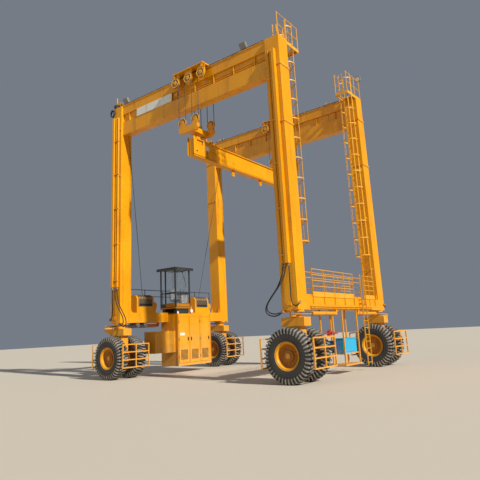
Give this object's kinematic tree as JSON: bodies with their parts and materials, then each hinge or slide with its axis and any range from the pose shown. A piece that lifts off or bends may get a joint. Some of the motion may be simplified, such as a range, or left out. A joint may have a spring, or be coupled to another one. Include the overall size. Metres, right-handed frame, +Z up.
{
  "type": "rubber tyred gantry crane",
  "caption": "Wheeled portal crane with two box girders on tall legs, rope-reeved trolleys, hook blocks and a spreader beam, a glazed cab, ladders and steered twin-tyre bogies.",
  "frame": {"origin": "on the ground, at the centre of the crane's footprint", "axes": "+X along the girders towards the side with the walkway, +Y along the sill beams away from the side with the portal that faces the viewer, +Z up"},
  "size_m": [12.42, 9.45, 15.5813],
  "materials": {
    "orange_paint": "satin, sun faded",
    "cab_paint": "satin",
    "blue_paint": "satin",
    "tyre": "dusty",
    "wire_rope": "greased",
    "rod": "polished",
    "hose": "dusty",
    "white_enamel": "weathered",
    "tank_metal": "dull",
    "navy_paint": "satin",
    "red_paint": "satin",
    "seat": "matt"
  },
  "bodies": {
    "frame": {"leg_near_left": "orange_paint", "leg_near_right": "orange_paint", "leg_far_left": "orange_paint", "leg_far_right": "orange_paint", "girder_near": "orange_paint", "girder_far": "orange_paint", "sill_left": "orange_paint", "sill_right": "orange_paint", "caged_ladder_near": "orange_paint", "caged_ladder_far": "orange_paint", "walkway_right": "orange_paint", "ground_ladder": "orange_paint", "railing_left": "cab_paint", "cab": "cab_paint", "operator_seat": "seat", "power_house": "orange_paint", "fluid_tank": "orange_paint", "winch_near": "orange_paint", "winch_far": "orange_paint", "air_tanks": "tank_metal", "service_frame": "orange_paint", "blue_cabinet": "blue_paint", "pump_set": "navy_paint", "red_manifold": "red_paint", "blank_board": "white_enamel", "floodlights": "white_enamel", "fixed_ropes": "wire_rope", "hoses_near_left": "hose", "hoses_near_right": "hose", "hoses_far_left": "hose", "hoses_far_right": "hose"},
    "trolley_near": {"trolley_near": "orange_paint", "hoist_ropes_near": "wire_rope"},
    "trolley_far": {"trolley_far": "orange_paint", "hoist_ropes_far": "wire_rope"},
    "hook_near": {"hook_block_near": "orange_paint", "spreader_beam": "orange_paint"},
    "hook_far": {"hook_block_far": "orange_paint"},
    "bogie_near_left": {"bogie_near_left": "orange_paint"},
    "barrel_near_left": {"steer_barrel_near_left": "orange_paint"},
    "rod_near_left": {"steer_rod_near_left": "rod"},
    "wheel_near_left_outer": {"wheel_near_left_outer": "tyre"},
    "wheel_near_left_inner": {"wheel_near_left_inner": "tyre"},
    "bogie_near_right": {"bogie_near_right": "orange_paint"},
    "barrel_near_right": {"steer_barrel_near_right": "orange_paint"},
    "rod_near_right": {"steer_rod_near_right": "rod"},
    "wheel_near_right_outer": {"wheel_near_right_outer": "tyre"},
    "wheel_near_right_inner": {"wheel_near_right_inner": "tyre"},
    "bogie_far_left": {"bogie_far_left": "orange_paint"},
    "barrel_far_left": {"steer_barrel_far_left": "orange_paint"},
    "rod_far_left": {"steer_rod_far_left": "rod"},
    "wheel_far_left_outer": {"wheel_far_left_outer": "tyre"},
    "wheel_far_left_inner": {"wheel_far_left_inner": "tyre"},
    "bogie_far_right": {"bogie_far_right": "orange_paint"},
    "barrel_far_right": {"steer_barrel_far_right": "orange_paint"},
    "rod_far_right": {"steer_rod_far_right": "rod"},
    "wheel_far_right_outer": {"wheel_far_right_outer": "tyre"},
    "wheel_far_right_inner": {"wheel_far_right_inner": "tyre"}
  },
  "joints": [
    {"name": "trolley_near_travel", "type": "slide", "parent": "frame", "child": "trolley_near", "axis": [1, 0, 0], "range_m": [-3.4, 1.8]},
    {"name": "trolley_far_travel", "type": "slide", "parent": "frame", "child": "trolley_far", "axis": [1, 0, 0], "range_m": [-3.4, 1.8]},
    {"name": "hoist_near", "type": "slide", "parent": "trolley_near", "child": "hook_near", "axis": [0, 0, 1], "range_m": [-9, 0.9], "deforming": ["hoist_ropes_near"]},
    {"name": "hoist_far", "type": "slide", "parent": "trolley_far", "child": "hook_far", "axis": [0, 0, 1], "range_m": [-9, 0.9], "deforming": ["hoist_ropes_far"]},
    {"name": "steer_near_left", "type": "hinge", "parent": "frame", "child": "bogie_near_left", "pos_m": [-5.06, -3.865, 2.4], "axis": [0, 0, -1], "range_deg": [0, 90]},
    {"name": "barrel_swing_near_left", "type": "hinge", "parent": "frame", "child": "barrel_near_left", "pos_m": [-5.3527, -1.1, 2.5], "axis": [0, 0, -1], "range_deg": [0, 9.2]},
    {"name": "rod_stroke_near_left", "type": "slide", "parent": "barrel_near_left", "child": "rod_near_left", "axis": [0, 1, 0], "range_m": [0, 0.96]},
    {"name": "spin_near_left_outer", "type": "hinge", "parent": "bogie_near_left", "child": "wheel_near_left_outer", "pos_m": [-5.06, -4.445, 1], "axis": [0, 1, 0], "continuous": true},
    {"name": "spin_near_left_inner", "type": "hinge", "parent": "bogie_near_left", "child": "wheel_near_left_inner", "pos_m": [-5.06, -3.285, 1], "axis": [0, 1, 0], "continuous": true},
    {"name": "steer_near_right", "type": "hinge", "parent": "frame", "child": "bogie_near_right", "pos_m": [5.06, -3.865, 2.4], "axis": [0, 0, 1], "range_deg": [0, 90]},
    {"name": "barrel_swing_near_right", "type": "hinge", "parent": "frame", "child": "barrel_near_right", "pos_m": [5.3527, -1.1, 2.5], "axis": [0, 0, 1], "range_deg": [0, 9.2]},
    {"name": "rod_stroke_near_right", "type": "slide", "parent": "barrel_near_right", "child": "rod_near_right", "axis": [0, 1, 0], "range_m": [0, 0.96]},
    {"name": "spin_near_right_outer", "type": "hinge", "parent": "bogie_near_right", "child": "wheel_near_right_outer", "pos_m": [5.06, -4.445, 1], "axis": [0, 1, 0], "continuous": true},
    {"name": "spin_near_right_inner", "type": "hinge", "parent": "bogie_near_right", "child": "wheel_near_right_inner", "pos_m": [5.06, -3.285, 1], "axis": [0, 1, 0], "continuous": true},
    {"name": "steer_far_left", "type": "hinge", "parent": "frame", "child": "bogie_far_left", "pos_m": [-5.06, 3.865, 2.4], "axis": [0, 0, 1], "range_deg": [0, 90]},
    {"name": "barrel_swing_far_left", "type": "hinge", "parent": "frame", "child": "barrel_far_left", "pos_m": [-5.3527, 1.1, 2.5], "axis": [0, 0, 1], "range_deg": [0, 9.2]},
    {"name": "rod_stroke_far_left", "type": "slide", "parent": "barrel_far_left", "child": "rod_far_left", "axis": [0, -1, 0], "range_m": [0, 0.96]},
    {"name": "spin_far_left_outer", "type": "hinge", "parent": "bogie_far_left", "child": "wheel_far_left_outer", "pos_m": [-5.06, 4.445, 1], "axis": [0, 1, 0], "continuous": true},
    {"name": "spin_far_left_inner", "type": "hinge", "parent": "bogie_far_left", "child": "wheel_far_left_inner", "pos_m": [-5.06, 3.285, 1], "axis": [0, 1, 0], "continuous": true},
    {"name": "steer_far_right", "type": "hinge", "parent": "frame", "child": "bogie_far_right", "pos_m": [5.06, 3.865, 2.4], "axis": [0, 0, -1], "range_deg": [0, 90]},
    {"name": "barrel_swing_far_right", "type": "hinge", "parent": "frame", "child": "barrel_far_right", "pos_m": [5.3527, 1.1, 2.5], "axis": [0, 0, -1], "range_deg": [0, 9.2]},
    {"name": "rod_stroke_far_right", "type": "slide", "parent": "barrel_far_right", "child": "rod_far_right", "axis": [0, -1, 0], "range_m": [0, 0.96]},
    {"name": "spin_far_right_outer", "type": "hinge", "parent": "bogie_far_right", "child": "wheel_far_right_outer", "pos_m": [5.06, 4.445, 1], "axis": [0, 1, 0], "continuous": true},
    {"name": "spin_far_right_inner", "type": "hinge", "parent": "bogie_far_right", "child": "wheel_far_right_inner", "pos_m": [5.06, 3.285, 1], "axis": [0, 1, 0], "continuous": true}
  ],
  "couplings": [
    {"joint": "trolley_far_travel", "follows": "trolley_near_travel", "ratio": 1},
    {"joint": "hoist_far", "follows": "hoist_near", "ratio": 1},
    {"joint": "barrel_swing_near_left", "follows": "steer_near_left", "ratio": 0.09966},
    {"joint": "rod_stroke_near_left", "follows": "steer_near_left", "m_per_rad": 0.60161},
    {"joint": "barrel_swing_near_right", "follows": "steer_near_right", "ratio": 0.09966},
    {"joint": "rod_stroke_near_right", "follows": "steer_near_right", "m_per_rad": 0.60161},
    {"joint": "barrel_swing_far_left", "follows": "steer_far_left", "ratio": 0.09966},
    {"joint": "rod_stroke_far_left", "follows": "steer_far_left", "m_per_rad": 0.60161},
    {"joint": "barrel_swing_far_right", "follows": "steer_far_right", "ratio": 0.09966},
    {"joint": "rod_stroke_far_right", "follows": "steer_far_right", "m_per_rad": 0.60161}
  ]
}
